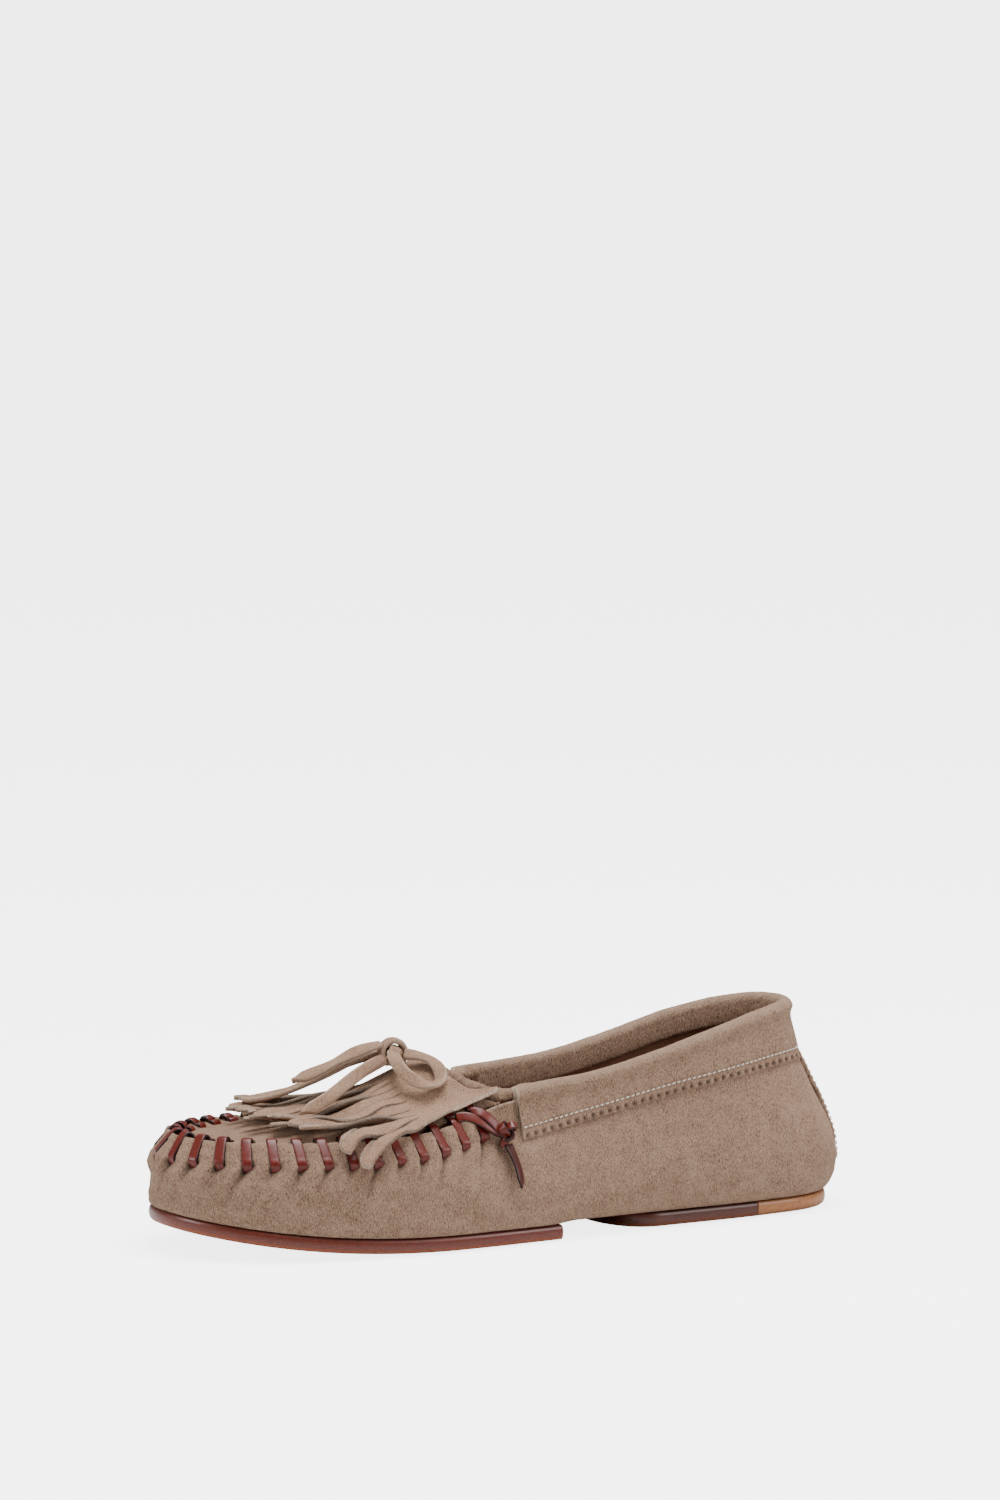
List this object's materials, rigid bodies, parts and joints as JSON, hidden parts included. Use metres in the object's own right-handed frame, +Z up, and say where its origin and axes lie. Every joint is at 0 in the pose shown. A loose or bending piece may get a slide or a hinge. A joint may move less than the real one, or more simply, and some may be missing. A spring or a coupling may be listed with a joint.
{
  "type": "moccasin",
  "caption": "Left driving-style moccasin: suede wrap laced to a plug, fringed kiltie with a thong bow, padded folded collar and a low leather sole in two parts.",
  "frame": {"origin": "on the ground under the middle of the shoe's bounding box", "axes": "+X to the shoe's outer (lateral) side, +Y towards the heel, +Z up; the toe points to -Y"},
  "size_m": [0.087, 0.2612, 0.074],
  "materials": {
    "suede": "brushed taupe suede, matt nap",
    "thong_suede": "taupe suede thong, cut edges lighter",
    "lining_leather": "brown leather lining, semi-matt",
    "sock_leather": "brown leather sock, semi-matt",
    "foam": "footbed foam, hidden",
    "board": "fibre insole board, hidden",
    "stiffener": "thermoplastic heel counter, hidden",
    "sole_leather": "dyed and burnished sole edge, glossy",
    "tan_leather": "tan heel piece, satin",
    "lace_leather": "dark red-brown lace leather with near-black edges, glossy",
    "thread": "off-white sewing thread"
  },
  "bodies": {
    "shoe": {"wrap": "suede", "plug": "suede", "throat_roll": "suede", "collar": "suede", "collar_padding": "foam", "quarter_lining": "lining_leather", "heel_counter": "stiffener", "back_stay": "suede", "insole_board": "board", "footbed_foam": "foam", "sock_lining": "sock_leather", "forefoot_outsole": "sole_leather", "heel_outsole": "sole_leather", "heel_top_piece": "tan_leather", "whip_lace": "lace_leather", "lace_knot_lateral": "lace_leather", "lace_knot_medial": "lace_leather", "collar_stitching": "thread", "back_stay_stitching": "thread"},
    "kiltie_and_bow": {"kiltie": "suede", "bow_knot": "thong_suede", "bow_loop_lateral": "thong_suede", "bow_loop_medial": "thong_suede", "bow_tail_long": "thong_suede", "bow_tail_short": "thong_suede"},
    "lateral_tail": {"lace_tail_lateral": "lace_leather"},
    "medial_tail": {"lace_tail_medial": "lace_leather"}
  },
  "joints": [
    {"name": "kiltie_lift", "type": "hinge", "parent": "shoe", "child": "kiltie_and_bow", "pos_m": [-0.00074, -0.01378, 0.055], "axis": [-1, 0, 0], "range_deg": [0, 70]},
    {"name": "lateral_tail_swing", "type": "hinge", "parent": "shoe", "child": "lateral_tail", "pos_m": [0.03525, -0.01517, 0.03456], "axis": [0.1188, -0.9929, 0], "range_deg": [0, 60]},
    {"name": "medial_tail_swing", "type": "hinge", "parent": "shoe", "child": "medial_tail", "pos_m": [-0.03112, -0.01534, 0.03456], "axis": [0.169, 0.9856, 0], "range_deg": [0, 60]}
  ]
}
